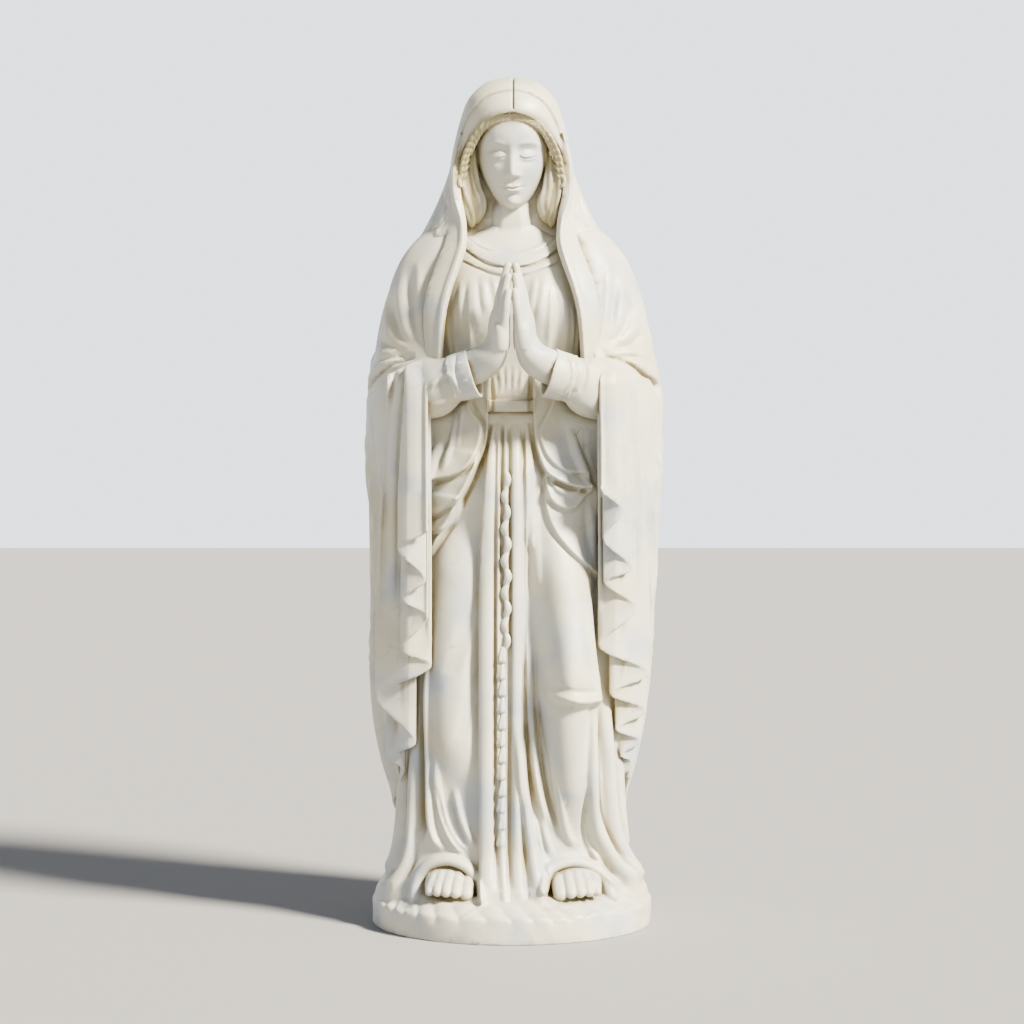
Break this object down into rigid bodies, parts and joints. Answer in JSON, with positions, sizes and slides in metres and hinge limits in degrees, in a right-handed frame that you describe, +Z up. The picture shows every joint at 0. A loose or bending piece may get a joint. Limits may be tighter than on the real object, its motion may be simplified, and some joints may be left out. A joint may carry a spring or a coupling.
{
  "type": "praying madonna statue",
  "caption": "Standing veiled woman with hands pressed in prayer, bare feet and falling mantle, carved with its low round base from one block of white marble.",
  "frame": {"origin": "middle of the base's flat underside, on the ground", "axes": "+Z up, -Y the way the figure faces, +X to the figure's left"},
  "size_m": [0.604, 0.5072, 1.6999],
  "materials": {
    "marble": "white marble, honed, faintly veined, weathered ochre in the recesses"
  },
  "bodies": {
    "root": {"madonna": "marble"}
  },
  "joints": []
}
